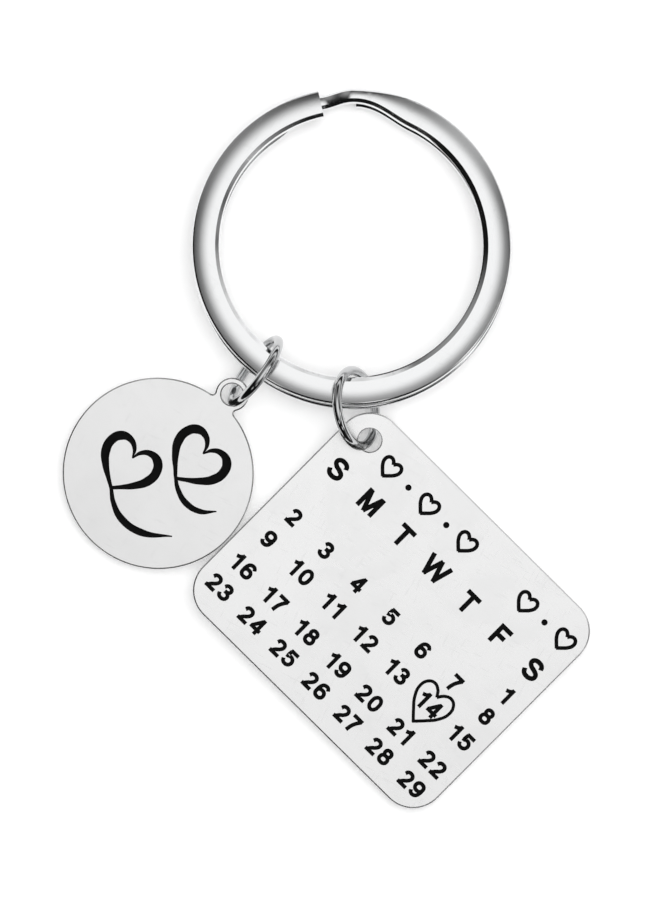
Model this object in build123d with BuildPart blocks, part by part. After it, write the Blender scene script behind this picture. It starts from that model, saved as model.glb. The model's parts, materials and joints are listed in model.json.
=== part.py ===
"""Calendar keychain: a two-turn split ring that carries a round tag and a calendar tag on two jump rings.

Millimetres, +Z up. The keychain lies on a flat surface at z = 0, faces up, as it does on a table: the jump
rings stand on their edges, and the split ring and the tags rest on them at one side and on the surface at
the other. The origin is the middle of the footprint. Angles are in degrees, anticlockwise seen from above.
"""
import os
from math import acos, asin, atan2, cos, degrees, hypot, pi, radians, sin, sqrt, tan

from build123d import *

# Split ring: one flattened wire wound in two turns
ring_od = 30.0
ring_wire_width = 2.65
ring_wire_thick = 1.0
ring_crown_angle = 19.0
ring_outer_edge = 0.23
ring_bevel_width = 0.33
ring_bevel_fall = 0.2
ring_inner_edge = 0.12
ring_shift = 0.14
ring_shift_angle = 100.0

# Split ring: the offset bend between the two cut ends, where the wire is pressed narrower
front_end_angle = 102.2
neck_start_angle = 64.0
neck_full_angle = 88.0
drop_start_angle = 89.5
drop_end_angle = 101.2
neck_leave_angle = 125.0
back_end_angle = 88.4
neck_inset = 1.08
neck_outset = 0.16
loft_steps = 5

# Calendar tag
calendar_long = 31.0
calendar_short = 25.4
calendar_corner = 3.2
calendar_inset = 2.77

# Disc tag
disc_dia = 18.0
ear_stand_off = 1.2
ear_rim = 0.54
ear_fillet = 0.3

# Both tags
tag_thick = 1.2
tag_edge_round = 0.12
hole_chamfer = 0.1

# Jump rings: round wire, bent closed, with a butt seam
jump_wire = 0.9
seam_angle = -62.0

# Clearances and plays
turn_gap = 0.1
seam_gap = 0.06
seat_gap = 0.1
tag_gap = 0.12
jump_play = 1.88
calendar_hole_play = 1.3
disc_hole_play = 1.16

# How each jump ring stands: its place round the split ring, its heading, its lean and the side it leans to
calendar_jump_angle = 271.6
calendar_heading_angle = 98.7
calendar_lean_angle = 60.5
calendar_side_angle = -90.0
calendar_jump_slack = 0.42
disc_jump_angle = 232.0
disc_heading_angle = 54.0
disc_lean_angle = 76.0
disc_side_angle = 90.0
disc_jump_slack = 0.78

# How each tag hangs: how far its hole lies off the wire, and where the calendar tag's pierced corner points
calendar_hole_in = 0.1
calendar_hole_aside = 0.08
calendar_corner_angle = 90.25
disc_hole_in = 0.15
disc_hole_aside = 0.08
seat_halvings = 12

# Side of the split ring that the jump rings lift
lift_angle = 251.0

# Sizes that follow from the ones above
ring_outer = ring_od / 2
ring_inner = ring_outer - ring_wire_width
turn_height = (ring_wire_thick + turn_gap) / 2
calendar_hole = jump_wire + calendar_hole_play
disc_hole = jump_wire + disc_hole_play
ear_radius = disc_hole / 2 + ear_rim
ear_offset = disc_dia / 2 + ear_stand_off
jump_bore = (ring_wire_width + calendar_inset - calendar_hole / 2 + jump_play) / 2
jump_bend = jump_bore + jump_wire / 2
seam_arc = 360 - degrees(seam_gap / jump_bend)


def heading_vector(angle):
    """Level unit vector at an angle seen from above."""
    return Vector(cos(radians(angle)), sin(radians(angle)), 0)


class StandingRing:
    """How one jump ring stands on its edge through the split ring and a tag, seen from the ring's centre."""

    def __init__(self, angle, slack, heading_angle, lean_angle, side_angle):
        self.angle = angle
        self.lean = radians(lean_angle)
        self.reach = ring_inner - slack + jump_bore
        self.height = jump_bend * sin(self.lean) + jump_wire / 2
        self.centre = heading_vector(angle) * self.reach + Vector(0, 0, self.height)
        self.up = heading_vector(heading_angle)
        self.low = heading_vector(heading_angle + side_angle)
        self.rise = Vector(0, 0, sin(self.lean)) - self.low * cos(self.lean)

    def bore_floor(self, offset, margin):
        """Lowest height at which something clears the wire by a margin, at an offset along the heading."""
        half_length = jump_bend - margin
        half_height = jump_bend * sin(self.lean) - margin
        share = min(abs(offset) / half_length, 1)
        return self.height - half_height * sqrt(1 - share**2)

    def wire_point(self, angle):
        """Middle of the wire at an angle in radians, from the ring's tag end down towards the surface."""
        return self.centre - self.up * (jump_bend * cos(angle)) - self.rise * (jump_bend * sin(angle))

    def tag_seat(self, hole_radius, hole_in, hole_aside):
        """Middle of a tag's hole, where the wire runs through it and the rim lies on the bore's floor."""
        above, below = 0, pi / 2
        for _ in range(seat_halvings):
            angle = (above + below) / 2
            rim_offset = jump_bend * cos(angle) - hole_in - hole_radius
            seat_height = self.bore_floor(rim_offset, jump_wire / 2 + seat_gap) + tag_thick / 2
            if self.wire_point(angle).Z > seat_height:
                above = angle
            else:
                below = angle
        return self.wire_point(above) + self.up * hole_in + self.low * hole_aside


def back_turn_reach(radius, angle):
    """How far a point of the back turn lies from the split ring's middle, at an angle round it."""
    return radius - ring_shift * cos(radians(angle - ring_shift_angle))


def ring_tilt(jump):
    """Tilt at which the split ring lies on a jump ring at one side and on the surface at the other."""
    corner = back_turn_reach(ring_inner + ring_inner_edge, jump.angle)
    corner_height = jump.bore_floor(jump.reach - corner, jump_wire / 2 + seat_gap)
    return asin(corner_height / (corner * cos(radians(jump.angle - lift_angle)) + far_corner))


far_corner = back_turn_reach(ring_outer - ring_outer_edge, lift_angle + 180)
calendar_jump = StandingRing(
    calendar_jump_angle,
    calendar_jump_slack,
    calendar_heading_angle,
    calendar_lean_angle,
    calendar_side_angle,
)
disc_jump = StandingRing(
    disc_jump_angle,
    disc_jump_slack,
    disc_heading_angle,
    disc_lean_angle,
    disc_side_angle,
)

# The calendar tag hangs by its corner; its diagonal runs from the hole to the middle of the far corner's arc
calendar_seat = calendar_jump.tag_seat(calendar_hole / 2, calendar_hole_in, calendar_hole_aside)
short_side_angle = calendar_corner_angle + 135
short_run = calendar_short - calendar_inset - calendar_corner
long_run = calendar_long - calendar_inset - calendar_corner
diagonal_turn = degrees(atan2(long_run, short_run))
calendar_far = hypot(short_run, long_run) + calendar_corner

# The disc tag hangs by its ear and leans against the calendar tag's short side
disc_seat = disc_jump.tag_seat(disc_hole / 2, disc_hole_in, disc_hole_aside)
side_angle = short_side_angle - 90
ear_to_side = (disc_seat - calendar_seat).dot(heading_vector(side_angle)) - calendar_inset
disc_angle = side_angle + degrees(acos((disc_dia / 2 + tag_gap - ear_to_side) / ear_offset))
disc_far = ear_offset + disc_dia / 2

# From the split ring's centre to the middle of the footprint
right_corner = calendar_seat + heading_vector(short_side_angle + 90) * long_run
bottom_corner = right_corner + heading_vector(short_side_angle) * short_run
left_edge = disc_seat.X + ear_offset * cos(radians(disc_angle)) - disc_dia / 2
right_edge = right_corner.X + calendar_corner
bottom_edge = bottom_corner.Y - calendar_corner
to_origin = Vector(-(left_edge + right_edge) / 2, -(bottom_edge + ring_outer) / 2, 0)

# The split ring's plane
tilt = max(ring_tilt(calendar_jump), ring_tilt(disc_jump))
ring_middle = Vector(0, 0, far_corner * sin(tilt) + (turn_height + ring_wire_thick / 2) * cos(tilt))
ring_axis = Vector(0, 0, cos(tilt)) - heading_vector(lift_angle) * sin(tilt)
ring_plane = Plane(ring_middle + to_origin, x_dir=(1, 0, 0), z_dir=ring_axis)


def jump_plane(jump):
    """Plane of a jump ring: its X points along the heading."""
    return Plane(jump.centre + to_origin, x_dir=jump.up, z_dir=jump.up.cross(jump.rise))


def tag_plane(seat, angle, far_reach):
    """Middle plane of a tag at its hole, tipped so that its far end, at an angle, rests on the surface."""
    tip = asin((seat.Z - tag_thick / 2) / far_reach)
    along = heading_vector(angle) * cos(tip) - Vector(0, 0, sin(tip))
    return Plane(seat + to_origin, x_dir=along, z_dir=along.cross(heading_vector(angle + 90)))


calendar_plane = tag_plane(calendar_seat, short_side_angle + diagonal_turn, calendar_far)
disc_plane = tag_plane(disc_seat, disc_angle, disc_far)


def across_wire(plane, angle):
    """Plane across a wire that is bent about a plane's Z: its X points outwards and its Y along that Z."""
    return plane.moved(Rotation(0, 0, angle)).moved(Rotation(90, 0, 0))


# Angles counted on round the two turns, from the front end through the drop to the back end
neck_start = neck_start_angle + 360
neck_full = neck_full_angle + 360
drop_start = drop_start_angle + 360
drop_end = drop_end_angle + 360
neck_leave = neck_leave_angle + 360
back_neck_start = neck_start_angle + 720
back_neck_full = neck_full_angle + 720
back_end = back_end_angle + 720
turn_offset = heading_vector(ring_shift_angle) * ring_shift


def ease(angle, first, last):
    """Smooth rise from 0 at the first angle to 1 at the last."""
    share = min(max((angle - first) / (last - first), 0), 1)
    return (1 - cos(pi * share)) / 2


def neck_share_at(angle):
    """How far the wire is pressed narrower at an angle counted on from the front end."""
    entering = ease(angle, neck_start, neck_full)
    leaving = ease(angle, drop_end, neck_leave)
    at_back = ease(angle, back_neck_start, back_neck_full)
    return entering - leaving + at_back


def turn_plane(angle):
    """The split ring's plane, moved to the middle of a turn: the two turns lie off to opposite sides."""
    side = 1 - 2 * ease(angle, drop_start, drop_end)
    return Plane(ring_plane.from_local_coords(turn_offset * side), x_dir=ring_plane.x_dir, z_dir=ring_axis)


def wire_section(angle):
    """Section of the flattened wire: a bevel inside, a face that falls away outwards and a flat back."""
    height = turn_height * (1 - 2 * ease(angle, drop_start, drop_end))
    inner = ring_inner + neck_inset * neck_share_at(angle)
    outer = ring_outer - neck_outset * neck_share_at(angle)
    bevel = inner + ring_inner_edge
    crest = bevel + ring_bevel_width
    shoulder = outer - ring_outer_edge
    front = height + ring_wire_thick / 2
    back = height - ring_wire_thick / 2
    shoulder_height = front - (shoulder - crest) * tan(radians(ring_crown_angle / 2))
    with BuildSketch(across_wire(turn_plane(angle), angle)) as section:
        with BuildLine():
            TangentArc((crest, front), (shoulder, shoulder_height), tangent=(1, 0))
            ThreePointArc(
                (shoulder, shoulder_height),
                (outer, (shoulder_height + back) / 2),
                (shoulder, back),
            )
            Line((shoulder, back), (bevel, back))
            ThreePointArc(
                (bevel, back),
                (inner, (front - ring_bevel_fall + back) / 2),
                (bevel, front - ring_bevel_fall),
            )
            Line((bevel, front - ring_bevel_fall), (crest, front))
        make_face()
    return section.sketch


def plain_turn(first, last):
    """Turn the full section round the axis of its turn."""
    axis = Axis(turn_plane(first).origin, ring_axis)
    revolve(wire_section(first), axis=axis, revolution_arc=last - first)


def pressed_run(first, last):
    """Loft the wire through evenly spaced sections."""
    step = (last - first) / loft_steps
    loft([wire_section(first + step * index) for index in range(loft_steps + 1)])


with BuildPart() as split_ring:
    plain_turn(front_end_angle, neck_start)
    pressed_run(neck_start, drop_start)
    pressed_run(drop_start, drop_end)
    pressed_run(drop_end, neck_leave)
    plain_turn(neck_leave, back_neck_start)
    pressed_run(back_neck_start, back_end)


def bend_jump_ring(plane):
    """Bend the round wire into a ring whose ends meet at the seam."""
    with BuildSketch(across_wire(plane, seam_angle)) as wire:
        with Locations((jump_bend, 0)):
            Circle(jump_wire / 2)
    revolve(wire.sketch, axis=Axis(plane.origin, plane.z_dir), revolution_arc=seam_arc)


with BuildPart() as calendar_jump_ring:
    bend_jump_ring(jump_plane(calendar_jump))

with BuildPart() as disc_jump_ring:
    bend_jump_ring(jump_plane(disc_jump))


def finish_tag(plane, hole_dia):
    """Round the rims of a tag's blank, then pierce its hole and break the hole's edges."""
    normal = Axis(plane.origin, plane.z_dir)
    fillet(faces().filter_by(normal).edges(), tag_edge_round)
    with Locations(plane):
        Hole(hole_dia / 2)
    circles = faces().filter_by(normal).edges().filter_by(GeomType.CIRCLE)
    chamfer(circles.filter_by(lambda edge: edge.radius < hole_dia), hole_chamfer)


with BuildPart() as calendar_tag:
    with BuildSketch(calendar_plane.moved(Rotation(0, 0, -diagonal_turn))):
        with Locations((calendar_short / 2 - calendar_inset, calendar_long / 2 - calendar_inset)):
            RectangleRounded(calendar_short, calendar_long, calendar_corner)
    extrude(amount=tag_thick / 2, both=True)
    finish_tag(calendar_plane, calendar_hole)

with BuildPart() as disc_tag:
    with BuildSketch(disc_plane):
        with Locations((ear_offset, 0)):
            Circle(disc_dia / 2)
        Circle(ear_radius)
        hole_middle = Vertex(0, 0, 0)
        notches = vertices().filter_by(lambda corner: corner.distance_to(hole_middle) < disc_dia / 2)
        fillet(notches, ear_fillet)
    extrude(amount=tag_thick / 2, both=True)
    finish_tag(disc_plane, disc_hole)

os.makedirs("parts", exist_ok=True)

split_ring.part.label = "split_ring"
export_step(split_ring.part, "parts/split_ring.step")

calendar_jump_ring.part.label = "calendar_jump_ring"
export_step(calendar_jump_ring.part, "parts/calendar_jump_ring.step")

calendar_tag.part.label = "calendar_tag"
export_step(calendar_tag.part, "parts/calendar_tag.step")

disc_jump_ring.part.label = "disc_jump_ring"
export_step(disc_jump_ring.part, "parts/disc_jump_ring.step")

disc_tag.part.label = "disc_tag"
export_step(disc_tag.part, "parts/disc_tag.step")

axes = {"split ring": ring_plane, "calendar tag": calendar_plane, "disc tag": disc_plane}
for name, plane in axes.items():
    print(f"{name} axis through {tuple(plane.origin)} along {tuple(plane.z_dir)}")
turns_apart = 2 * turn_height - ring_wire_thick
jump_outer = 2 * (jump_bore + jump_wire)
print(f"turns {turns_apart:.3f} apart, tilt {degrees(tilt):.2f}, jump rings {jump_outer:.2f} outside")
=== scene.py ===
import json
import logging
import math
from abc import ABC, abstractmethod
from dataclasses import dataclass, replace
from enum import Enum
from typing import Callable, Sequence

import bmesh
import bpy
from mathutils import Matrix, Vector


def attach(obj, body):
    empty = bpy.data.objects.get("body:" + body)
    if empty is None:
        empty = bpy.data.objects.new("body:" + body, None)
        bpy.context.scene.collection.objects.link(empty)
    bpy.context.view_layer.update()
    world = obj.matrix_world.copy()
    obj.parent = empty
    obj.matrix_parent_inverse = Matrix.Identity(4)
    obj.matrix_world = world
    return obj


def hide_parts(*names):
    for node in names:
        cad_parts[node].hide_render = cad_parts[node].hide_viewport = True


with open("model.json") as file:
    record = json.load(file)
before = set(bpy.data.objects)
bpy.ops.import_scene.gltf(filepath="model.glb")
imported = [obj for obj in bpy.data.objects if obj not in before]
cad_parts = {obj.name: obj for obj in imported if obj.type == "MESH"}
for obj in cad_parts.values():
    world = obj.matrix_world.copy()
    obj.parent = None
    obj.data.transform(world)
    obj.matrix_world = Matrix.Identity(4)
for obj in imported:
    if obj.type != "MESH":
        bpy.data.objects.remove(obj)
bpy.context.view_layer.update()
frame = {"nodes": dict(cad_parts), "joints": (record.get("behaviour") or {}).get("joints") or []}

log = logging.getLogger("calendar_keychain")

MM = 0.001
# A face counts as level, or as upright, by its normal's height
LEVEL = 0.999
UPRIGHT = 0.5
# Where an oval's points lie between its ends and its sides
OVAL_SHOULDER = (0.75, 0.72)

Point = tuple[float, float]
Dab = tuple[float, float, float]
Place = tuple[float, float, float]


class Body(Enum):
    """Names of the moving bodies that the new pieces ride on."""

    SPLIT_RING = "split_ring"
    CALENDAR_TAG = "calendar_tag"
    DISC_TAG = "disc_tag"


class Corner(Enum):
    """How a drawn stroke passes a point."""

    FLOWING = "AUTO"
    SHARP = "VECTOR"


@dataclass(frozen=True)
class Line:
    """One line of a figure's skeleton, in shares of the figure's height."""

    points: tuple[Point, ...]
    closed: bool = False
    sharp: tuple[int, ...] = ()
    straight: bool = False


@dataclass(frozen=True)
class Figure:
    """A plain engraver's figure: how wide it is, and the lines that it is drawn with."""

    width: float
    lines: tuple[Line, ...]

    def turned_round(self) -> "Figure":
        """Return the figure turned by half a turn."""
        lines = tuple(
            replace(line, points=tuple((self.width - across, 1 - up) for across, up in line.points))
            for line in self.lines
        )
        return Figure(self.width, lines)


def spaced(first: Point, last: Point, count: int) -> list[Point]:
    """Return evenly spaced places from a first one to a last one."""
    shares = [index / (count - 1) for index in range(count)]
    return [
        (first[0] + (last[0] - first[0]) * share, first[1] + (last[1] - first[1]) * share)
        for share in shares
    ]


def turned(point: Point, angle: float) -> Point:
    """Return a point turned about the origin by an angle in radians."""
    cosine, sine = math.cos(angle), math.sin(angle)
    return point[0] * cosine - point[1] * sine, point[0] * sine + point[1] * cosine


def arc(middle: Point, radius: float, first: float, last: float, steps: int) -> list[Point]:
    """Walk along an arc in even steps, up to but without its end.

    Args:
        middle: The arc's middle.
        radius: The arc's radius.
        first: The angle where the arc starts, in radians.
        last: The angle where the arc ends, in radians.
        steps: How many steps the arc has.

    Returns:
        The points, one for each step.
    """
    angles = [first + (last - first) * index / steps for index in range(steps)]
    spokes = [turned((radius, 0.0), angle) for angle in angles]
    return [(middle[0] + across, middle[1] + up) for across, up in spokes]


def figure(width: float, *lines: Line) -> Figure:
    """Return a figure of some lines."""
    return Figure(width, lines)


def bar(*points: Point) -> Line:
    """Return a straight line of a figure."""
    return Line(points, straight=True)


def bend(*points: Point, sharp: tuple[int, ...] = ()) -> Line:
    """Return a flowing line of a figure, with a corner at the points whose numbers are given."""
    return Line(points, sharp=sharp)


def oval(middle: Point, across: float, up: float) -> Line:
    """Make a closed oval line of a figure.

    Args:
        middle: The oval's middle.
        across: Half the oval's width.
        up: Half the oval's height.

    Returns:
        The line.
    """
    wide, high = OVAL_SHOULDER
    left_half = ((0, 1), (-wide, high), (-1, 0), (-wide, -high))
    right_half = ((0, -1), (wide, -high), (1, 0), (wide, high))
    points = ((middle[0] + across * x, middle[1] + up * y) for x, y in left_half + right_half)
    return Line(tuple(points), closed=True)


SIX = figure(
    0.7,
    oval((0.355, 0.34), 0.235, 0.22),
    bend((0.6, 0.72), (0.52, 0.84), (0.38, 0.88), (0.21, 0.8), (0.13, 0.6), (0.12, 0.33)),
)

FIGURES = {
    "0": figure(0.7, oval((0.35, 0.5), 0.23, 0.38)),
    "1": figure(0.62, bar((0.42, 0.0), (0.42, 1.0)), bend((0.42, 0.9), (0.28, 0.77), (0.09, 0.69))),
    "2": figure(
        0.7,
        bend(
            (0.13, 0.68), (0.19, 0.82), (0.36, 0.88), (0.53, 0.81),
            (0.57, 0.66), (0.48, 0.48), (0.3, 0.3), (0.16, 0.1),
        ),
        bar((0.05, 0.12), (0.67, 0.12)),
    ),
    "3": figure(
        0.7,
        bend(
            (0.12, 0.7), (0.19, 0.83), (0.34, 0.88), (0.5, 0.82),
            (0.54, 0.69), (0.45, 0.57), (0.26, 0.54),
        ),
        bend(
            (0.26, 0.54), (0.46, 0.51), (0.575, 0.39), (0.57, 0.25),
            (0.48, 0.15), (0.33, 0.12), (0.17, 0.18), (0.1, 0.32),
        ),
    ),
    "4": figure(
        0.7,
        bar((0.5, 0.0), (0.5, 0.99)),
        bar((0.03, 0.29), (0.7, 0.29)),
        bar((0.46, 0.88), (0.13, 0.33)),
    ),
    "5": figure(
        0.7,
        bar((0.65, 0.88), (0.13, 0.88)),
        bend(
            (0.2, 0.88), (0.16, 0.52), (0.3, 0.6), (0.45, 0.59), (0.57, 0.47),
            (0.575, 0.29), (0.48, 0.16), (0.33, 0.12), (0.17, 0.18), (0.1, 0.31),
            sharp=(1,),
        ),
    ),
    "6": SIX,
    "7": figure(
        0.7,
        bar((0.04, 0.88), (0.67, 0.88)),
        bend((0.6, 0.86), (0.43, 0.6), (0.32, 0.32), (0.27, 0.0)),
    ),
    "8": figure(0.7, oval((0.35, 0.71), 0.19, 0.17), oval((0.35, 0.33), 0.23, 0.21)),
    "9": SIX.turned_round(),
    "S": figure(
        0.84,
        bend(
            (0.7, 0.7), (0.62, 0.85), (0.42, 0.91), (0.22, 0.86), (0.14, 0.72),
            (0.23, 0.58), (0.53, 0.48), (0.7, 0.38), (0.71, 0.22), (0.6, 0.12),
            (0.42, 0.085), (0.22, 0.14), (0.11, 0.31),
        ),
    ),
    "M": figure(
        0.96,
        bar((0.11, 0.0), (0.11, 1.0)),
        bar((0.85, 0.0), (0.85, 1.0)),
        bar((0.15, 0.96), (0.49, 0.0)),
        bar((0.81, 0.96), (0.47, 0.0)),
    ),
    "T": figure(0.78, bar((0.0, 0.89), (0.78, 0.89)), bar((0.39, 0.0), (0.39, 0.9))),
    "W": figure(
        1.3,
        bar((0.11, 1.0), (0.39, 0.0)),
        bar((0.35, 0.0), (0.66, 0.98)),
        bar((0.64, 0.98), (0.95, 0.0)),
        bar((0.91, 0.0), (1.19, 1.0)),
    ),
    "F": figure(
        0.68,
        bar((0.11, 0.0), (0.11, 1.0)),
        bar((0.05, 0.89), (0.68, 0.89)),
        bar((0.05, 0.48), (0.6, 0.48)),
    ),
}


def pick_only(piece: bpy.types.Object) -> None:
    """Select one piece and nothing else, and make it the active one.

    Args:
        piece: The piece that the next operators work on.
    """
    bpy.ops.object.select_all(action="DESELECT")
    piece.select_set(True)
    bpy.context.view_layer.objects.active = piece


def pick_edges(piece: bpy.types.Object, wanted: Callable[[bmesh.types.BMEdge], bool]) -> None:
    """Select the edges that a test picks.

    Args:
        piece: The piece, in edit mode.
        wanted: The test that an edge has to pass.
    """
    bpy.ops.mesh.select_all(action="DESELECT")
    mesh = bmesh.from_edit_mesh(piece.data)
    for edge in filter(wanted, mesh.edges):
        edge.select_set(True)
    bmesh.update_edit_mesh(piece.data)


def pick_faces(piece: bpy.types.Object, wanted: Callable[[bmesh.types.BMFace], bool]) -> None:
    """Select the faces that a test picks.

    Args:
        piece: The piece, in edit mode.
        wanted: The test that a face has to pass.
    """
    bpy.ops.mesh.select_all(action="DESELECT")
    mesh = bmesh.from_edit_mesh(piece.data)
    mesh.normal_update()
    for face in filter(wanted, mesh.faces):
        face.select_set(True)
    bmesh.update_edit_mesh(piece.data)


def cut_away(piece: bpy.types.Object, cutter: bpy.types.Object) -> None:
    """Cut a cutter's shape out of a piece, and throw the cutter away.

    Args:
        piece: The piece that is cut.
        cutter: The closed shape that is taken out of it, with the material of the cut walls.
    """
    pick_only(piece)
    cut = piece.modifiers.new("cut", "BOOLEAN")
    cut.operation = "DIFFERENCE"
    cut.solver = "MANIFOLD"
    cut.material_mode = "TRANSFER"
    cut.object = cutter
    bpy.ops.object.modifier_apply(modifier=cut.name)
    bpy.data.objects.remove(cutter)


def wire_up(
    tree: bpy.types.NodeTree, kind: str, sockets: dict | None = None, **settings: object
) -> bpy.types.Node:
    """Add a node to a tree, set its options, and fill or link its sockets.

    Args:
        tree: The tree that gets the node.
        kind: The node's type.
        sockets: Values or other nodes' outputs, by input name or number.
        settings: Options of the node.

    Returns:
        The new node.
    """
    made = tree.nodes.new(kind)
    for option, value in settings.items():
        setattr(made, option, value)
    for key, value in (sockets or {}).items():
        if isinstance(value, bpy.types.NodeSocket):
            tree.links.new(value, made.inputs[key])
        else:
            made.inputs[key].default_value = value
    return made


def math_on(tree: bpy.types.NodeTree, operation: str, *values: object) -> bpy.types.NodeSocket:
    """Add a Math node.

    Args:
        tree: The tree that gets the node.
        operation: The node's operation.
        values: Numbers or outputs that it works on.

    Returns:
        The node's output.
    """
    sockets = dict(enumerate(values))
    return wire_up(tree, "ShaderNodeMath", sockets, operation=operation).outputs[0]


def ramp_between(
    tree: bpy.types.NodeTree,
    value: object,
    start: float,
    end: float,
    low: float = 0.0,
    high: float = 1.0,
) -> bpy.types.NodeSocket:
    """Add a smooth ramp from one number to another.

    Args:
        tree: The tree that gets the node.
        value: The number that is ramped.
        start: Where the ramp starts.
        end: Where the ramp ends.
        low: What the ramp gives at its start.
        high: What the ramp gives at its end.

    Returns:
        The ramp's output.
    """
    sockets = {"Value": value, "From Min": start, "From Max": end, "To Min": low, "To Max": high}
    return wire_up(tree, "ShaderNodeMapRange", sockets, interpolation_type="SMOOTHSTEP").outputs[0]


def place_in_mm(tree: bpy.types.NodeTree) -> bpy.types.NodeSocket:
    """Add the nodes that read the place on a piece, in millimetres.

    Args:
        tree: The material's tree.

    Returns:
        The place's output.
    """
    sockets = {0: wire_up(tree, "ShaderNodeTexCoord").outputs["Object"], "Scale": 1 / MM}
    return wire_up(tree, "ShaderNodeVectorMath", sockets, operation="SCALE").outputs[0]


def turned_flat(
    tree: bpy.types.NodeTree, place: bpy.types.NodeSocket, angle: object
) -> bpy.types.NodeSocket:
    """Add a node that turns a pattern about the upright axis.

    Args:
        tree: The tree that gets the node.
        place: The place that is turned.
        angle: The angle in radians, or its output.

    Returns:
        The turned place's output.
    """
    sockets = {"Vector": place, "Angle": angle}
    return wire_up(tree, "ShaderNodeVectorRotate", sockets, rotation_type="Z_AXIS").outputs[0]


class SurfaceEffects:
    """The shared effects that the steels are finished with, each a node group."""

    def __init__(self) -> None:
        """Build the groups once."""
        self.grain = self._satin_grain()
        self.handling = self._handling_marks()

    def _new_group(
        self, name: str, numbers: dict[str, float], outputs: Sequence[str]
    ) -> tuple[bpy.types.NodeTree, bpy.types.Node, bpy.types.Node]:
        """Start a group that reads a place on the piece and some numbers.

        Args:
            name: The group's name.
            numbers: Its number inputs, with their usual values.
            outputs: The names of what it gives out.

        Returns:
            The group, its input node and its output node.
        """
        group = bpy.data.node_groups.new(name, "ShaderNodeTree")
        group.interface.new_socket("Place", in_out="INPUT", socket_type="NodeSocketVector")
        for label, usual in numbers.items():
            socket = group.interface.new_socket(label, in_out="INPUT", socket_type="NodeSocketFloat")
            socket.default_value = usual
        for label in outputs:
            group.interface.new_socket(label, in_out="OUTPUT", socket_type="NodeSocketFloat")
        inlet = group.nodes.new("NodeGroupInput")
        outlet = group.nodes.new("NodeGroupOutput")
        return group, inlet, outlet

    def _satin_grain(self) -> bpy.types.NodeTree:
        """Build the fine one-way grain that a satin belt leaves.

        Returns:
            The group. It gives a Tone and a Height from 0 to 1.
        """
        group, inlet, outlet = self._new_group(
            "satin_grain", {"Turn": 0.0, "Lines": 9.0, "Length": 1.6}, ["Tone", "Height"]
        )
        lay = turned_flat(group, inlet.outputs["Place"], inlet.outputs["Turn"])
        along = math_on(group, "DIVIDE", 1.0, inlet.outputs["Length"])
        sockets = {"X": along, "Y": inlet.outputs["Lines"], "Z": 1.0}
        stretch = wire_up(group, "ShaderNodeCombineXYZ", sockets).outputs[0]
        drawn = wire_up(
            group, "ShaderNodeVectorMath", {0: lay, 1: stretch}, operation="MULTIPLY"
        ).outputs[0]
        sockets = {"Vector": drawn, "Scale": 1.0, "Detail": 3.0, "Roughness": 0.6}
        lines = wire_up(group, "ShaderNodeTexNoise", sockets)
        sockets = {"Vector": inlet.outputs["Place"], "Scale": 0.16, "Detail": 2.0}
        cloud = wire_up(group, "ShaderNodeTexNoise", sockets)
        tone = math_on(group, "ADD", lines.outputs["Fac"], cloud.outputs["Fac"])
        group.links.new(math_on(group, "MULTIPLY", tone, 0.5), outlet.inputs["Tone"])
        group.links.new(lines.outputs["Fac"], outlet.inputs["Height"])
        return group

    def _handling_marks(self) -> bpy.types.NodeTree:
        """Build the faint smears and hairline scratches of handled metal.

        Returns:
            The group. It gives a Smear and a Scratch from 0 to 1.
        """
        group, inlet, outlet = self._new_group(
            "handling_marks", {"Spread": 0.22, "Fineness": 5.0}, ["Smear", "Scratch"]
        )
        sockets = {"Scale": inlet.outputs["Spread"], "Detail": 5.0, "Distortion": 0.6}
        smear = wire_up(group, "ShaderNodeTexNoise", {"Vector": inlet.outputs["Place"], **sockets})
        seen = ramp_between(group, smear.outputs["Fac"], start=0.42, end=0.7)
        group.links.new(seen, outlet.inputs["Smear"])
        hairs = []
        # Two sets of hairlines, each turned in radians and shifted its own way
        for turn, shift in ((0.5, 0.0), (2.1, 7.3)):
            lay = turned_flat(group, inlet.outputs["Place"], turn)
            sockets = {"Vector": lay, "Location": (shift, shift, 0.0), "Scale": (0.12, 1.0, 0.4)}
            drawn = wire_up(group, "ShaderNodeMapping", sockets).outputs[0]
            sockets = {"Vector": drawn, "Scale": inlet.outputs["Fineness"], "Detail": 1.0}
            noise = wire_up(group, "ShaderNodeTexNoise", sockets)
            hairs.append(ramp_between(group, noise.outputs["Fac"], start=0.66, end=0.72))
        group.links.new(math_on(group, "MAXIMUM", *hairs), outlet.inputs["Scratch"])
        return group


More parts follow.
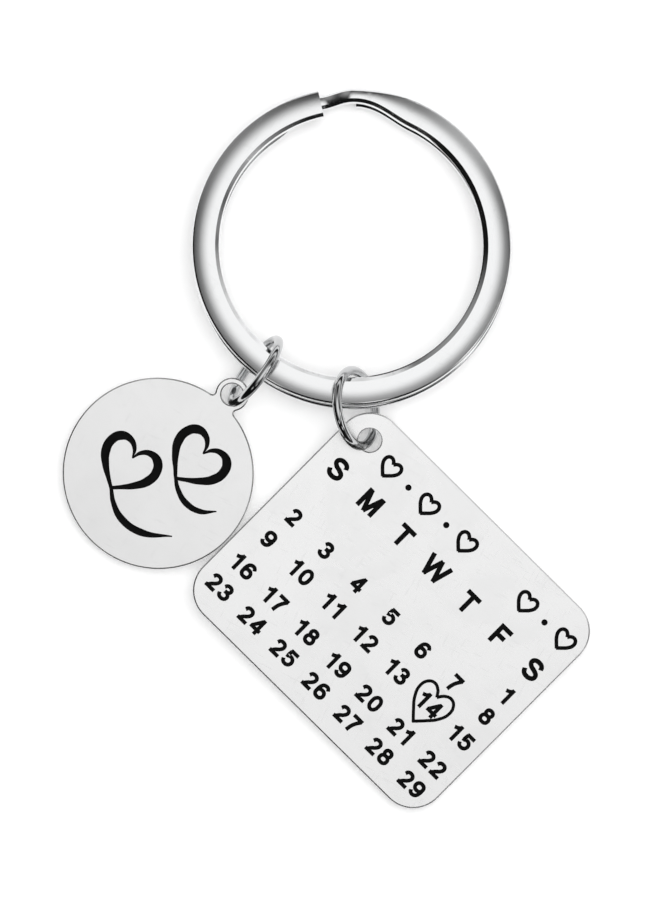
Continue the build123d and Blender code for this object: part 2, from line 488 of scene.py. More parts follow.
@dataclass(frozen=True)
class SteelFinish:
    """A bare steel surface: how pale, how smooth and how marked it is."""

    name: str
    tint: tuple[float, float, float]
    roughness: float
    grain_tone: float
    grain_rough: float
    smear_rough: float
    scratch_rough: float
    relief: float
    grain_turn: float = 0.0
    scratch_height: float = -0.8

    def material(self, effects: SurfaceEffects) -> bpy.types.Material:
        """Mix the finish from the shared effects.

        Args:
            effects: The shared groups.

        Returns:
            The finished material.
        """
        steel = bpy.data.materials.new(self.name)
        steel.use_nodes = True
        tree = steel.node_tree
        shader = tree.nodes["Principled BSDF"]
        shader.inputs["Metallic"].default_value = 1.0
        place = place_in_mm(tree)
        sockets = {"Place": place, "Turn": self.grain_turn}
        grain = wire_up(tree, "ShaderNodeGroup", sockets, node_tree=effects.grain).outputs
        marks = wire_up(tree, "ShaderNodeGroup", {"Place": place}, node_tree=effects.handling).outputs
        shades = {
            socket: (*(min(1.0, part * share) for part in self.tint), 1.0)
            for socket, share in (("A", 1 + self.grain_tone), ("B", 1 - self.grain_tone))
        }
        shade = wire_up(
            tree, "ShaderNodeMix", {"Factor": grain["Tone"], **shades}, data_type="RGBA"
        )
        tree.links.new(shade.outputs["Result"], shader.inputs["Base Color"])
        rough: object = self.roughness
        for mask, share in (
            (grain["Tone"], self.grain_rough),
            (marks["Smear"], self.smear_rough),
            (marks["Scratch"], self.scratch_rough),
        ):
            rough = math_on(tree, "MULTIPLY_ADD", mask, share, rough)
        tree.links.new(rough, shader.inputs["Roughness"])
        height = math_on(tree, "MULTIPLY_ADD", marks["Scratch"], self.scratch_height, grain["Height"])
        sockets = {"Height": height, "Strength": 1.0, "Distance": self.relief * MM}
        bump = wire_up(tree, "ShaderNodeBump", sockets)
        tree.links.new(bump.outputs[0], shader.inputs["Normal"])
        return steel


@dataclass(frozen=True)
class FillFinish:
    """The matt dark fill that sits in the engraved marks."""

    name: str
    tint: tuple[float, float, float]
    roughness: float
    shine: float = 0.08
    smear_spread: float = 2.5
    smear_rough: float = 0.2

    def material(self, effects: SurfaceEffects) -> bpy.types.Material:
        """Mix the fill, with a slightly uneven surface.

        Args:
            effects: The shared groups.

        Returns:
            The finished material.
        """
        fill = bpy.data.materials.new(self.name)
        fill.use_nodes = True
        tree = fill.node_tree
        shader = tree.nodes["Principled BSDF"]
        shader.inputs["Base Color"].default_value = (*self.tint, 1.0)
        shader.inputs["Specular IOR Level"].default_value = self.shine
        sockets = {"Spread": self.smear_spread, "Place": place_in_mm(tree)}
        smear = wire_up(tree, "ShaderNodeGroup", sockets, node_tree=effects.handling).outputs["Smear"]
        rough = math_on(tree, "MULTIPLY_ADD", smear, self.smear_rough, self.roughness)
        tree.links.new(rough, shader.inputs["Roughness"])
        return fill


TAG_STEEL = SteelFinish(
    name="tag_satin_steel",
    tint=(0.905, 0.905, 0.905),
    roughness=0.24,
    grain_turn=math.radians(45),
    grain_tone=0.012,
    grain_rough=0.05,
    smear_rough=0.02,
    scratch_rough=0.03,
    relief=0.0002,
)
DISC_STEEL = replace(TAG_STEEL, name="disc_satin_steel", tint=(0.91, 0.91, 0.91), roughness=0.18)
RING_STEEL = SteelFinish(
    name="ring_polished_steel",
    tint=(0.8, 0.805, 0.81),
    roughness=0.07,
    grain_tone=0.03,
    grain_rough=0.03,
    smear_rough=0.05,
    scratch_rough=0.08,
    relief=0.0006,
)
BRIGHT_WIRE = SteelFinish(
    name="jump_ring_bright_wire",
    tint=(0.55, 0.555, 0.56),
    roughness=0.03,
    grain_tone=0.02,
    grain_rough=0.02,
    smear_rough=0.04,
    scratch_rough=0.05,
    relief=0.0003,
)
DARK_FILL = FillFinish(name="engraving_dark_fill", tint=(0.004, 0.004, 0.004), roughness=0.7)


@dataclass(frozen=True)
class TagPlace:
    """Where a tag lies: the middle of its hole, and its three directions."""

    hole: Vector
    reading: Vector
    up: Vector
    normal: Vector

    @classmethod
    def from_joint(cls, joint_name: str, turn: float) -> "TagPlace":
        """Read a tag's place from the joint through its hole.

        Args:
            joint_name: The joint's name in the record.
            turn: The turn from the tag's lean to its reading direction, in degrees.

        Returns:
            The place, in metres.
        """
        joint = next(j for j in frame["joints"] if j["name"] == joint_name)
        normal = Vector(joint["axis"]).normalized()
        lean = Vector((normal.x, normal.y, 0.0))
        lean = (lean - normal * lean.dot(normal)).normalized()
        reading = Matrix.Rotation(math.radians(turn), 3, normal) @ lean
        return cls(Vector(joint["pos_m"]), reading, normal.cross(reading), normal)

    def matrix(self) -> Matrix:
        """Return the matrix from the tag's own millimetres to the shared frame."""
        directions = Matrix((self.reading, self.up, self.normal)).transposed().to_4x4()
        return Matrix.Translation(self.hole) @ directions @ Matrix.Scale(MM, 4)


@dataclass
class EngravedTag(ABC):
    """A steel tag whose rims are broken and whose marks are cut in its upper face."""

    name: str
    node: str
    body: Body
    joint: str
    reading_turn: float = 0.0
    thickness: float = 1.2
    rim_width: float = 0.12
    rim_fall: float = 0.085
    face_border: float = 0.03
    hole_dia: float = 2.2
    hole_chamfer: float = 0.1
    hole_steps: int = 64
    cut_depth: float = 0.12
    groove_smoothness: int = 2
    figure_gap: float = 0.12
    figure_smoothness: int = 4
    smooth_below: float = 30.0
    touching: float = 0.0001
    weld: float = 0.0002

    @abstractmethod
    def blank(self, steel: bpy.types.Material) -> bpy.types.Object:
        """Make the tag's plate, in millimetres round the middle of its hole."""

    @abstractmethod
    def marks(self) -> list[bpy.types.Object]:
        """Make the cutters of the tag's marks, in the order in which they are cut."""

    def place(self) -> TagPlace:
        """Return where the tag lies."""
        return TagPlace.from_joint(self.joint, self.reading_turn)

    def build(self, steel: bpy.types.Material, fill: bpy.types.Material) -> bpy.types.Object:
        """Make, pierce and engrave the tag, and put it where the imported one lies.

        Args:
            steel: The plate's material.
            fill: The material of the marks.

        Returns:
            The finished tag, in the shared frame.
        """
        plate = self.blank(steel)
        self.finish_rims(plate)
        self.pierce(plate)
        self.engrave(plate, self.marks(), fill)
        self.settle(plate)
        return plate

    def finish_rims(self, plate: bpy.types.Object) -> None:
        """Break the rims of a plate with a narrow slope, and give its faces a narrow border.

        Args:
            plate: The plate, in millimetres, with flat faces and upright walls.
        """
        pick_only(plate)
        bpy.ops.object.mode_set(mode="EDIT")
        half = self.thickness / 2

        def on_rim(edge: bmesh.types.BMEdge) -> bool:
            """Tell whether an edge lies between a flat face and a wall."""
            level = all(abs(abs(vert.co.z) - half) < self.touching for vert in edge.verts)
            return level and any(abs(face.normal.z) < UPRIGHT for face in edge.link_faces)

        pick_edges(plate, on_rim)
        bpy.ops.mesh.bevel(offset=self.rim_width, segments=1, clamp_overlap=False)
        for side in (1, -1):
            foot = side * (half - self.rim_width)
            pick_edges(
                plate, lambda edge: all(abs(vert.co.z - foot) < self.touching for vert in edge.verts)
            )
            bpy.ops.transform.translate(value=(0, 0, side * (self.rim_width - self.rim_fall)))
        pick_faces(plate, lambda face: abs(face.normal.z) > LEVEL)
        bpy.ops.mesh.inset(thickness=self.face_border, use_individual=True)
        bpy.ops.object.mode_set(mode="OBJECT")

    def pierce(self, plate: bpy.types.Object) -> None:
        """Drill the hole through a plate and break its edges.

        Args:
            plate: The plate, in millimetres, with the hole's middle at its origin.
        """
        radius, reach = self.hole_dia / 2, 2 * self.hole_chamfer
        wide = (radius + reach) / radius
        bpy.ops.object.select_all(action="DESELECT")
        bpy.ops.mesh.primitive_cylinder_add(
            vertices=self.hole_steps, radius=radius, depth=self.thickness - reach
        )
        drill = bpy.context.object
        drill.data.materials.append(plate.data.materials[0])
        bpy.ops.object.mode_set(mode="EDIT")
        for side in (1, -1):
            pick_faces(drill, lambda face: face.normal.z * side > LEVEL)
            bpy.ops.mesh.extrude_region_move(TRANSFORM_OT_translate={"value": (0, 0, side * reach)})
            end = (0, 0, side * (self.thickness / 2 + self.hole_chamfer))
            bpy.ops.transform.resize(value=(wide, wide, 1), center_override=end)
        bpy.ops.object.mode_set(mode="OBJECT")
        cut_away(plate, drill)

    def figures(
        self, words: str, middle: Point, height: float, width: float, stretch: float = 1.0
    ) -> list[bpy.types.Object]:
        """Draw figures side by side as cutters in the tag's upper face.

        Args:
            words: The figures.
            middle: The middle of the block, in the tag's millimetres.
            height: How tall a figure is.
            width: How wide each line is.
            stretch: How many times wider the figures are than they are drawn.

        Returns:
            The cutters, in the order of the figures' lines.
        """
        shapes = [FIGURES[word] for word in words]
        whole = sum(shape.width for shape in shapes) * stretch + self.figure_gap * (len(shapes) - 1)
        left = middle[0] - whole * height / 2
        low = middle[1] - height / 2
        cutters = []
        for shape in shapes:
            for line in shape.lines:
                dabs = [
                    (left + across * stretch * height, low + up * height, width / 2)
                    for across, up in line.points
                ]
                cutters.append(
                    self.stroke(dabs, line.closed, line.sharp, line.straight, self.figure_smoothness)
                )
            left += (shape.width * stretch + self.figure_gap) * height
        return cutters

    def stroke(
        self,
        dabs: Sequence[Dab],
        closed: bool = False,
        sharp: Sequence[int] = (),
        straight: bool = False,
        smoothness: int = 10,
    ) -> bpy.types.Object:
        """Draw one stroke as a cutter with a rounded bottom.

        Args:
            dabs: The stroke's points: two places in millimetres, and half the stroke's width.
            closed: Whether the stroke runs back into its start.
            sharp: The numbers of the points where the stroke turns a corner.
            straight: Whether the stroke runs straight from point to point.
            smoothness: How many steps lie between two points.

        Returns:
            The cutter, a mesh.
        """
        bpy.ops.object.select_all(action="DESELECT")
        bpy.ops.curve.primitive_bezier_curve_add()
        line = bpy.context.object
        line.data.splines.clear()
        spline = line.data.splines.new("BEZIER")
        spline.bezier_points.add(len(dabs) - 1)
        spline.use_cyclic_u = closed
        line.data.resolution_u = 1 if straight else smoothness
        for index, (across, up, width) in enumerate(dabs):
            point = spline.bezier_points[index]
            passing = Corner.SHARP if straight or index in sharp else Corner.FLOWING
            point.co = (across, up, 0.0)
            point.radius = width
            point.handle_left_type = point.handle_right_type = passing.value
        line.data.dimensions = "3D"
        line.data.twist_mode = "Z_UP"
        line.data.bevel_depth = 1.0
        line.data.bevel_resolution = self.groove_smoothness
        line.data.use_fill_caps = not closed
        bpy.ops.object.convert(target="MESH")
        line = bpy.context.object
        deepest = max(width for _, _, width in dabs)
        line.scale = (1, 1, self.cut_depth / deepest)
        line.location = (0, 0, self.thickness / 2)
        bpy.ops.object.transform_apply(location=True, rotation=True, scale=True)
        bpy.ops.object.mode_set(mode="EDIT")
        bpy.ops.mesh.select_all(action="SELECT")
        bpy.ops.mesh.remove_doubles(threshold=self.weld)
        bpy.ops.mesh.normals_make_consistent(inside=False)
        bpy.ops.object.mode_set(mode="OBJECT")
        return line

    def engrave(
        self, plate: bpy.types.Object, cutters: Sequence[bpy.types.Object], fill: bpy.types.Material
    ) -> None:
        """Cut marks in a plate one by one, with dark fill on the cut faces.

        Args:
            plate: The plate that gets the marks.
            cutters: The marks' cutters, which may cross each other.
            fill: The material of the cut faces.
        """
        for cutter in cutters:
            cutter.data.materials.clear()
            cutter.data.materials.append(fill)
            cut_away(plate, cutter)

    def settle(self, plate: bpy.types.Object) -> None:
        """Smooth an engraved plate, and move it from its own millimetres to the shared frame.

        Args:
            plate: The engraved plate.
        """
        pick_only(plate)
        bpy.ops.object.shade_smooth_by_angle(angle=math.radians(self.smooth_below))
        bpy.ops.object.mode_set(mode="EDIT")
        pick_edges(plate, lambda edge: len({face.material_index for face in edge.link_faces}) > 1)
        bpy.ops.mesh.mark_sharp()
        bpy.ops.object.mode_set(mode="OBJECT")
        plate.data.transform(self.place().matrix())
        plate.data.update()
        plate.name = self.name
        plate.data.name = self.name
        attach(plate, self.body.value)
        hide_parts(self.node)


@dataclass
class CalendarTag(EngravedTag):
    """The rectangular tag with its month sheet, laid out in millimetres from the hole's middle."""

    name: str = "calendar_tag_engraved"
    node: str = "calendar_tag"
    body: Body = Body.CALENDAR_TAG
    joint: str = "calendar_tag_swing"
    reading_turn: float = 37.82
    long_side: float = 31.0
    short_side: float = 25.4
    corner: float = 3.2
    hole_inset: float = 2.77
    corner_steps: int = 20
    figure_height: float = 1.73
    figure_stretch: float = 1.04
    figure_line: float = 0.38
    initial_height: float = 2.1
    initial_line: float = 0.46
    initials: str = "SMTWTFS"
    initials_row: tuple[Point, Point] = ((-0.2, -4.0), (26.05, -4.5))
    first_day: Point = (26.04, -7.98)
    day_rows: tuple[tuple[Point, Point], ...] = (
        ((0.04, -10.12), (26.09, -10.7)),
        ((-0.17, -13.24), (25.75, -13.81)),
        ((-0.12, -16.75), (25.66, -17.46)),
        ((-0.27, -19.67), (25.59, -20.18)),
    )
    day_mark: Point = (21.5, -13.8)
    day_mark_size: Point = (3.9, 4.3)
    day_mark_line: float = 0.155
    header_hearts: tuple[float, ...] = (3.2, 8.2, 13.2, 21.2, 26.2)
    header_hearts_up: float = -0.57
    header_heart_size: Point = (1.95, 1.95)
    header_heart_line: float = 0.18
    header_dots: tuple[float, ...] = (5.7, 10.7, 23.7)
    header_dots_up: float = -0.6
    dot_radius: float = 0.3
    dot_steps: int = 24
    heart_side: tuple[Point, ...] = (
        (0.0, 0.25), (0.12, 0.39), (0.29, 0.445), (0.44, 0.36),
        (0.49, 0.16), (0.39, -0.08), (0.2, -0.29), (-0.02, -0.5),
    )

    def blank(self, steel: bpy.types.Material) -> bpy.types.Object:
        """Make the rounded plate.

        Args:
            steel: The plate's material.

        Returns:
            The plate, in millimetres, with the hole's middle at its origin.
        """
        bpy.ops.object.select_all(action="DESELECT")
        middle = (self.long_side / 2 - self.hole_inset, self.hole_inset - self.short_side / 2, 0.0)
        bpy.ops.mesh.primitive_cube_add(size=1, location=middle)
        plate = bpy.context.object
        plate.scale = (self.long_side, self.short_side, self.thickness)
        bpy.ops.object.transform_apply(location=True, rotation=True, scale=True)
        plate.data.materials.append(steel)
        bpy.ops.object.mode_set(mode="EDIT")
        half = self.thickness / 2
        pick_edges(plate, lambda edge: abs(edge.verts[0].co.z - edge.verts[1].co.z) > half)
        bpy.ops.mesh.bevel(offset=self.corner, segments=self.corner_steps, profile=0.5)
        bpy.ops.object.mode_set(mode="OBJECT")
        return plate

    def month_sheet(self) -> list[bpy.types.Object]:
        """Make the cutters of the weekday initials and the day numbers.

        Returns:
            The cutters.
        """
        cutters = []
        week = len(self.initials)
        for initial, middle in zip(self.initials, spaced(*self.initials_row, week)):
            cutters += self.figures(initial, middle, self.initial_height, self.initial_line)
        places = [self.first_day]
        for first, last in self.day_rows:
            places += spaced(first, last, week)
        for day, middle in enumerate(places, start=1):
            cutters += self.figures(
                str(day), middle, self.figure_height, self.figure_line, self.figure_stretch
            )
        return cutters

    def heart(self, middle: Point, size: Point, line: float) -> list[bpy.types.Object]:
        """Draw a plain heart's outline in two strokes that meet at its notch and its tip.

        Args:
            middle: The middle of the heart's box.
            size: The box's width and height.
            line: Half the width of the line.

        Returns:
            The two cutters.
        """
        width, height = size
        return [
            self.stroke(
                [
                    (middle[0] + hand * across * width, middle[1] + up * height, line)
                    for across, up in self.heart_side
                ]
            )
            for hand in (1, -1)
        ]

    def dot(self, middle: Point) -> bpy.types.Object:
        """Make the cutter of a round dot.

        Args:
            middle: The dot's middle.

        Returns:
            The cutter, a flattened ball.
        """
        bpy.ops.object.select_all(action="DESELECT")
        bpy.ops.mesh.primitive_uv_sphere_add(
            segments=self.dot_steps,
            ring_count=self.dot_steps // 2,
            radius=self.dot_radius,
            location=(*middle, self.thickness / 2),
        )
        ball = bpy.context.object
        ball.scale = (1, 1, self.cut_depth / self.dot_radius)
        bpy.ops.object.transform_apply(location=True, rotation=True, scale=True)
        return ball

    def header(self) -> list[bpy.types.Object]:
        """Draw the row of hearts and dots above the month sheet.

        Returns:
            The cutters.
        """
        marks = []
        for across in self.header_hearts:
            middle = (across, self.header_hearts_up)
            marks += self.heart(middle, self.header_heart_size, self.header_heart_line)
        return marks + [self.dot((across, self.header_dots_up)) for across in self.header_dots]

    def marks(self) -> list[bpy.types.Object]:
        """Make the cutters of the month sheet, of its header and of the heart round one day.

        Returns:
            The cutters, in the order in which they are cut.
        """
        day_heart = self.heart(self.day_mark, self.day_mark_size, self.day_mark_line)
        return self.month_sheet() + self.header() + day_heart


@dataclass
class DiscTag(EngravedTag):
    """The round tag with its ear and its drawn hearts, laid out in millimetres from its middle."""

    name: str = "disc_tag_engraved"
    node: str = "disc_tag"
    body: Body = Body.DISC_TAG
    joint: str = "disc_tag_swing"
    dia: float = 18.0
    ear_offset: float = 10.2
    ear_radius: float = 1.57
    ear_fillet: float = 0.3
    hole_dia: float = 2.06
    disc_steps: int = 176
    ear_steps: int = 44
    fillet_steps: int = 10
    hair_line: float = 0.06
    slim_line: float = 0.17
    full_line: float = 0.44
    heart_size: Point = (5.3, 4.8)
    upper_heart: Point = (1.9, 3.1)
    upper_lean: float = 8.0
    lower_heart: Point = (-2.7, -1.5)
    lower_lean: float = -4.0
    reading_heading: float = 320.0

    def outline(self) -> list[Point]:
        """Walk round the disc, its two notches and its ear.

        Returns:
            The outline's points, in millimetres round the hole's middle.
        """
        disc, ear, small = self.dia / 2, self.ear_radius, self.ear_fillet
        far, near = disc + small, ear + small
        foot = (far**2 - near**2 + self.ear_offset**2) / (2 * self.ear_offset)
        rise = math.sqrt(far**2 - foot**2)
        disc_angle = math.atan2(rise, foot)
        ear_angle = math.atan2(rise, foot - self.ear_offset)
        half_turn = math.pi
        points = arc((0.0, 0.0), disc, disc_angle, 2 * half_turn - disc_angle, self.disc_steps)
        points += arc((foot, -rise), small, half_turn - disc_angle, half_turn - ear_angle, self.fillet_steps)
        points += arc((self.ear_offset, 0.0), ear, -ear_angle, ear_angle, self.ear_steps)
        points += arc((foot, rise), small, ear_angle - half_turn, disc_angle - half_turn, self.fillet_steps)
        return [(self.ear_offset - across, -up) for across, up in points]

    def blank(self, steel: bpy.types.Material) -> bpy.types.Object:
        """Make the disc with its ear, from a circle that is drawn out to its outline.

        Args:
            steel: The disc's material.

        Returns:
            The disc, in millimetres, with the hole's middle at its origin.
        """
        outline = self.outline()
        bpy.ops.object.select_all(action="DESELECT")
        bpy.ops.mesh.primitive_circle_add(
            vertices=len(outline), radius=self.dia / 2, fill_type="NGON"
        )
        disc = bpy.context.object
        disc.data.materials.append(steel)
        for vert, (across, up) in zip(disc.data.vertices, outline):
            vert.co = (across, up, -self.thickness / 2)
        bpy.ops.object.mode_set(mode="EDIT")
        bpy.ops.mesh.select_all(action="SELECT")
        bpy.ops.mesh.extrude_region_move(TRANSFORM_OT_translate={"value": (0, 0, self.thickness)})
        bpy.ops.mesh.select_all(action="SELECT")
        bpy.ops.mesh.normals_make_consistent(inside=False)
        bpy.ops.object.mode_set(mode="OBJECT")
        return disc

    def brush_heart(self, middle: Point, lean: float, tail: Sequence[Dab]) -> list[list[Dab]]:
        """Draw a heart in two brush strokes that swell at the sides.

        Args:
            middle: The middle of the heart.
            lean: How far it leans to the right, in degrees.
            tail: Further points of the first stroke, past the heart's tip.

        Returns:
            The two strokes.
        """
        width, height = self.heart_size
        hair, slim, full = self.hair_line, self.slim_line, self.full_line
        side = (
            (0.0, 0.22, hair), (0.07, 0.4, slim * 1.2), (0.22, 0.5, full * 0.7),
            (0.39, 0.46, full), (0.49, 0.27, full), (0.46, 0.03, full),
            (0.31, -0.2, full * 0.75), (0.13, -0.38, slim * 1.2), (0.0, -0.5, slim),
        )
        strokes = []
        for hand in (-1, 1):
            points = []
            for across, up, half in side:
                x, y = turned((hand * across * width, up * height), math.radians(-lean))
                points.append((middle[0] + x, middle[1] + y, half))
            strokes.append(points)
        strokes[0] += list(tail)
        return strokes

    def marks(self) -> list[bpy.types.Object]:
        """Make the cutters of two brush hearts with flourishes, one above the other.

        Returns:
            The strokes' cutters.
        """
        hair, slim, full = self.hair_line, self.slim_line, self.full_line
        upper_tail = (
            (2.5, 0.0, slim * 1.4), (3.8, -0.45, full * 0.7),
            (5.3, -0.2, full * 0.6), (6.5, 0.8, hair),
        )
        lower_tail = (
            (-1.5, -4.8, slim * 1.4), (0.1, -5.5, full * 0.8),
            (2.3, -5.3, full * 0.8), (4.8, -3.7, hair),
        )
        drawing = self.brush_heart(self.upper_heart, self.upper_lean, upper_tail)
        drawing += self.brush_heart(self.lower_heart, self.lower_lean, lower_tail)
        own = self.place().reading
        turn = math.radians(self.reading_heading) - math.atan2(own.y, own.x)
        strokes = []
        for dabs in drawing:
            laid = []
            for across, up, half in dabs:
                x, y = turned((across, up), turn)
                laid.append((self.ear_offset + x, y, half))
            strokes.append(self.stroke(laid))
        return strokes


@dataclass
class SplitRing:
    """The split ring's wire, whose inner bevel is ground on to an upright wall over its right side."""

    name: str = "split_ring_wire"
    node: str = "split_ring"
    body: Body = Body.SPLIT_RING
    joint: str = "calendar_jump_swing"
    outer_radius: float = 15.0
    wire_width: float = 2.65
    wire_thick: float = 1.0
    turn_height: float = 0.55
    turn_shift: float = 0.14
    shift_angle: float = 100.0
    bevel_width: float = 0.33
    bevel_fall: float = 0.2
    inner_edge: float = 0.12
    front_end: float = 102.2
    neck_start: float = 64.0
    neck_full: float = 88.0
    drop_start: float = 89.5
    drop_end: float = 101.2
    neck_leave: float = 125.0
    neck_inset: float = 1.08
    ground_rise: tuple[float, float] = (262.0, 284.0)
    ground_fade: tuple[float, float] = (404.0, 418.0)
    slack: float = 0.015
    weld: float = 0.0015
    least_move: float = 0.00015

    def place(self) -> Matrix:
        """Read the ring's place from the joint about its axis.

        Returns:
            The matrix from the ring's own millimetres to the shared frame.
        """
        joint = next(j for j in frame["joints"] if j["name"] == self.joint)
        axis = Vector(joint["axis"]).normalized()
        right = (Vector((1, 0, 0)) - axis * axis.x).normalized()
        directions = Matrix((right, axis.cross(right), axis)).transposed().to_4x4()
        return Matrix.Translation(Vector(joint["pos_m"])) @ directions @ Matrix.Scale(MM, 4)

    def ease(self, angle: float, first: float, last: float) -> float:
        """Return the smooth rise from 0 at the first angle to 1 at the last."""
        share = min(max((angle - first) / (last - first), 0), 1)
        return (1 - math.cos(math.pi * share)) / 2

    def counted(self, angle: float, height: float) -> float:
        """Count an angle on round the two turns, from the upper cut end.

        Args:
            angle: The angle seen from above, in degrees.
            height: The height over the middle of the two turns.

        Returns:
            The angle, in degrees.
        """
        whole = angle + 360 if angle < self.front_end else angle
        lone = self.drop_start < angle < self.front_end
        return whole if lone or height > 0 else whole + 360

    def neck_share(self, counted: float) -> float:
        """Tell how far the wire is pressed narrower.

        Args:
            counted: The angle counted on from the upper cut end, in degrees.

        Returns:
            The share, from 0 for the full width to 1 for the neck's.
        """
        entering = self.ease(counted, self.neck_start + 360, self.neck_full + 360)
        leaving = self.ease(counted, self.drop_end + 360, self.neck_leave + 360)
        at_back = self.ease(counted, self.neck_start + 720, self.neck_full + 720)
        return entering - leaving + at_back

    def ground(self, point: Vector) -> Vector:
        """Move a point of the bulged inner wall out to the ground bevel and the upright wall.

        Args:
            point: The point, in the ring's own millimetres.

        Returns:
            The new point, or the same one where it lies elsewhere.
        """
        angle = math.degrees(math.atan2(point.y, point.x)) % 360
        counted = self.counted(angle, point.z)
        side = 1 - 2 * self.ease(counted, self.drop_start + 360, self.drop_end + 360)
        turn = math.radians(self.shift_angle)
        middle = Vector((math.cos(turn), math.sin(turn), 0)) * self.turn_shift * side
        away = point - middle
        away.z = 0
        inner = self.outer_radius - self.wire_width + self.neck_inset * self.neck_share(counted)
        foot = self.turn_height * side + self.wire_thick / 2 - self.bevel_fall
        belly = foot - (self.wire_thick - self.bevel_fall) / 2
        on_wall = away.length <= inner + self.inner_edge - self.slack
        if not (on_wall and belly < point.z < foot - self.slack):
            return point
        slope = self.bevel_width / self.bevel_fall
        reach = max(inner, inner + self.inner_edge + (point.z - foot) * slope)
        share = self.ease(counted, *self.ground_rise) - self.ease(counted, *self.ground_fade)
        reach = away.length + (reach - away.length) * share
        return middle + away.normalized() * reach + Vector((0, 0, point.z))

    def build(self, steel: bpy.types.Material) -> bpy.types.Object:
        """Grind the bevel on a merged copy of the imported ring.

        Args:
            steel: The ring's material.

        Returns:
            The finished ring.
        """
        ring = bpy.data.objects.new(self.name, frame["nodes"][self.node].data.copy())
        bpy.context.collection.objects.link(ring)
        pick_only(ring)
        bpy.ops.object.mode_set(mode="EDIT")
        bpy.ops.mesh.select_all(action="SELECT")
        bpy.ops.mesh.remove_doubles(threshold=self.weld * MM, use_sharp_edge_from_normals=True)
        bpy.ops.object.mode_set(mode="OBJECT")
        self.grind(ring.data)
        ring.data.name = self.name
        ring.material_slots[0].material = steel
        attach(ring, self.body.value)
        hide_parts(self.node)
        return ring

    def grind(self, mesh: bpy.types.Mesh) -> None:
        """Move the wall's points, and turn the normals of its faces round the ring with them.

        Args:
            mesh: The merged ring, in the shared frame.
        """
        normals = [corner.vector.copy() for corner in mesh.corner_normals]
        place = self.place()
        back = place.inverted()
        moved = set()
        for vert in mesh.vertices:
            point = back @ vert.co
            new = self.ground(point)
            if (new - point).length > self.least_move:
                vert.co = place @ new
                moved.add(vert.index)
        mesh.update()
        axis = (place.to_3x3() @ Vector((0, 0, 1))).normalized()
        for face in mesh.polygons:
            if not moved.intersection(face.vertices):
                continue
            centre = (back @ face.center).xy
            for corner in face.loop_indices:
                point = (back @ mesh.vertices[mesh.loops[corner].vertex_index].co).xy
                turn = math.atan2(centre.cross(point), centre.dot(point))
                normals[corner] = Matrix.Rotation(turn, 3, axis) @ face.normal
        mesh.normals_split_custom_set(normals)


@dataclass
class JumpRings:
    """The two jump rings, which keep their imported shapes."""

    nodes: tuple[str, str] = ("calendar_jump_ring", "disc_jump_ring")

    def dress(self, wire: bpy.types.Material) -> list[bpy.types.Object]:
        """Give the rings their finish.

        Args:
            wire: The jump rings' material.

        Returns:
            The dressed rings.
        """
        dressed = [frame["nodes"][name] for name in self.nodes]
        for piece in dressed:
            for slot in piece.material_slots:
                slot.material = wire
        return dressed


@dataclass(frozen=True)
class Glow:
    """A soft patch of light in the surroundings."""

    azimuth: float
    from_zenith: float
    inner: float
    outer: float
    strength: float

    def direction(self) -> Vector:
        """Return the way to the patch's middle."""
        across, up = turned((0.0, 1.0), -math.radians(self.from_zenith))
        return Vector((*turned((across, 0.0), math.radians(self.azimuth)), up))


# A soft ceiling, wide pale patches, a low row of small patches, and a few small bright ones
GLOWS = (
    Glow(60.0, 8.0, 12.0, 42.0, 1.12),
    Glow(50.0, 54.0, 4.0, 22.0, 0.5),
    Glow(328.0, 62.0, 5.0, 30.0, 0.28),
    Glow(130.0, 60.0, 8.0, 34.0, 0.3),
    Glow(0.0, 68.0, 3.0, 12.0, 0.3),
    Glow(322.0, 75.0, 3.0, 11.0, 0.55),
    *(Glow(azimuth, 72.0, 2.0, 10.5, 0.8) for azimuth in range(14, 103, 11)),
    Glow(235.0, 42.0, 2.0, 7.0, 1.8),
    Glow(283.0, 44.0, 2.0, 8.0, 1.6),
    *(Glow(azimuth, 49.0, 2.0, 9.0, 2.0) for azimuth in (330.0, 346.0, 2.0)),
)


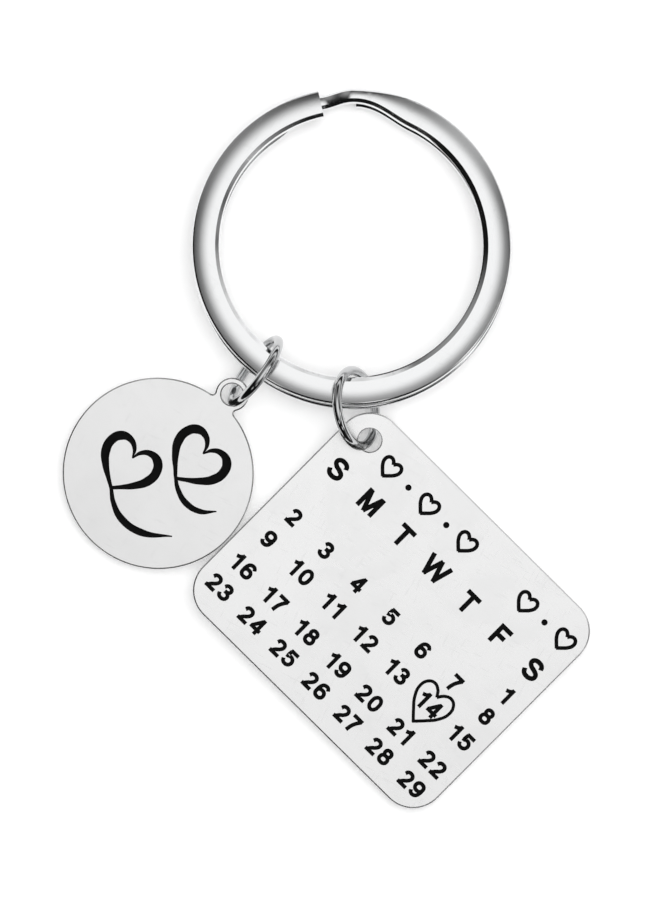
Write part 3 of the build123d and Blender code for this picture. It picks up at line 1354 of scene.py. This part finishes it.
@dataclass
class Studio:
    """The floor, the light and the camera: the picture in millimetres, the rest in metres."""

    picture_height: float = 84.375
    picture_middle: Point = (0.2138, -0.132)
    camera_height: float = 500.0
    sensor: float = 36.0
    subject_height: float = 2.5
    floor_reach: float = 0.9
    floor_tint: tuple[float, float, float] = (0.85, 0.85, 0.85)
    floor_lift: float = 0.24
    dark_level: float = 0.008
    horizon_level: float = 0.05
    horizon_height: tuple[float, float] = (0.02, 0.22)
    lamp_place: Place = (0.06, 0.1, 0.8)
    lamp_size: float = 1.3
    lamp_power: float = 7.0
    nearest_seen: float = 0.02
    farthest_seen: float = 10.0
    glows: tuple[Glow, ...] = GLOWS

    def surroundings(self) -> None:
        """Build the light that the metal mirrors: a dark room with a soft ceiling and soft boxes."""
        world = bpy.data.worlds.new("soft_studio")
        bpy.context.scene.world = world
        world.use_nodes = True
        tree = world.node_tree
        tree.nodes.clear()
        way = wire_up(tree, "ShaderNodeTexCoord").outputs["Generated"]
        way = wire_up(tree, "ShaderNodeVectorMath", {0: way}, operation="NORMALIZE").outputs[0]
        level: object = self.dark_level
        for glow in self.glows:
            sockets = {0: way, 1: glow.direction()}
            share = wire_up(tree, "ShaderNodeVectorMath", sockets, operation="DOT_PRODUCT")
            away = math_on(tree, "ARCCOSINE", share.outputs["Value"])
            inner, outer = math.radians(glow.inner), math.radians(glow.outer)
            patch = ramp_between(tree, away, inner, outer, low=glow.strength, high=0.0)
            level = math_on(tree, "ADD", patch, level)
        height = wire_up(tree, "ShaderNodeSeparateXYZ", {0: way}).outputs["Z"]
        rim = ramp_between(tree, height, *self.horizon_height, low=self.horizon_level, high=0.0)
        level = math_on(tree, "ADD", rim, level)
        seen = wire_up(tree, "ShaderNodeLightPath").outputs["Is Camera Ray"]
        shown = wire_up(tree, "ShaderNodeMix", {"Factor": seen, "A": level, "B": 1.0}).outputs[0]
        colour = wire_up(tree, "ShaderNodeCombineColor", {0: shown, 1: shown, 2: shown}).outputs[0]
        back = wire_up(tree, "ShaderNodeBackground", {"Color": colour, "Strength": 1.0})
        out = wire_up(tree, "ShaderNodeOutputWorld")
        tree.links.new(back.outputs[0], out.inputs[0])

    def floor(self) -> None:
        """Lay the plain white floor, which keeps the keychain's shadow."""
        bpy.ops.object.select_all(action="DESELECT")
        bpy.ops.mesh.primitive_plane_add(size=2 * self.floor_reach)
        floor = bpy.context.object
        floor.name = "studio_floor"
        paper = bpy.data.materials.new("white_floor")
        paper.use_nodes = True
        tree = paper.node_tree
        tree.nodes.clear()
        path = wire_up(tree, "ShaderNodeLightPath").outputs
        seen = math_on(tree, "MAXIMUM", path["Is Camera Ray"], path["Is Glossy Ray"])
        seen = math_on(tree, "MAXIMUM", seen, path["Is Transmission Ray"])
        matt = wire_up(tree, "ShaderNodeBsdfDiffuse", {"Color": (*self.floor_tint, 1.0)})
        strength = math_on(tree, "MULTIPLY", seen, self.floor_lift)
        lift = wire_up(tree, "ShaderNodeEmission", {"Color": (1, 1, 1, 1), "Strength": strength})
        both = wire_up(tree, "ShaderNodeAddShader", {0: matt.outputs[0], 1: lift.outputs[0]})
        out = wire_up(tree, "ShaderNodeOutputMaterial")
        tree.links.new(both.outputs[0], out.inputs["Surface"])
        floor.data.materials.append(paper)

    def lamp(self) -> None:
        """Hang a soft lamp that points at the keychain and isn't mirrored by it."""
        bpy.ops.object.select_all(action="DESELECT")
        bpy.ops.object.light_add(type="AREA", location=self.lamp_place)
        lamp = bpy.context.object
        lamp.name = "overhead_lamp"
        lamp.data.shape = "DISK"
        lamp.data.size = self.lamp_size
        lamp.data.energy = self.lamp_power
        lamp.rotation_euler = (-Vector(self.lamp_place)).to_track_quat("-Z", "Y").to_euler()
        lamp.visible_glossy = False

    def camera(self) -> None:
        """Hang the camera straight above the keychain."""
        bpy.ops.object.select_all(action="DESELECT")
        place = [part * MM for part in (*self.picture_middle, self.camera_height + self.subject_height)]
        bpy.ops.object.camera_add(location=place, rotation=(0, 0, 0))
        camera = bpy.context.object
        camera.name = "photo_camera"
        camera.data.sensor_width = self.sensor
        camera.data.lens = self.sensor * self.camera_height / self.picture_height
        camera.data.clip_start = self.nearest_seen
        camera.data.clip_end = self.farthest_seen
        bpy.context.scene.camera = camera

    def build(self) -> None:
        """Set the whole studio up."""
        bpy.context.scene.view_settings.view_transform = "Standard"
        self.surroundings()
        self.floor()
        self.lamp()
        self.camera()


def main() -> None:
    """Build the keychain's looks piece by piece, then the studio."""
    logging.basicConfig(level=logging.INFO, format="%(name)s: %(message)s")
    effects = SurfaceEffects()
    fill = DARK_FILL.material(effects)
    for tag, steel in ((CalendarTag(), TAG_STEEL), (DiscTag(), DISC_STEEL)):
        piece = tag.build(steel.material(effects), fill)
        log.info("%s: %d faces", piece.name, len(piece.data.polygons))
    piece = SplitRing().build(RING_STEEL.material(effects))
    log.info("%s: %d faces", piece.name, len(piece.data.polygons))
    for piece in JumpRings().dress(BRIGHT_WIRE.material(effects)):
        log.info("%s: dressed", piece.name)
    Studio().build()


if __name__ == "__main__":
    main()
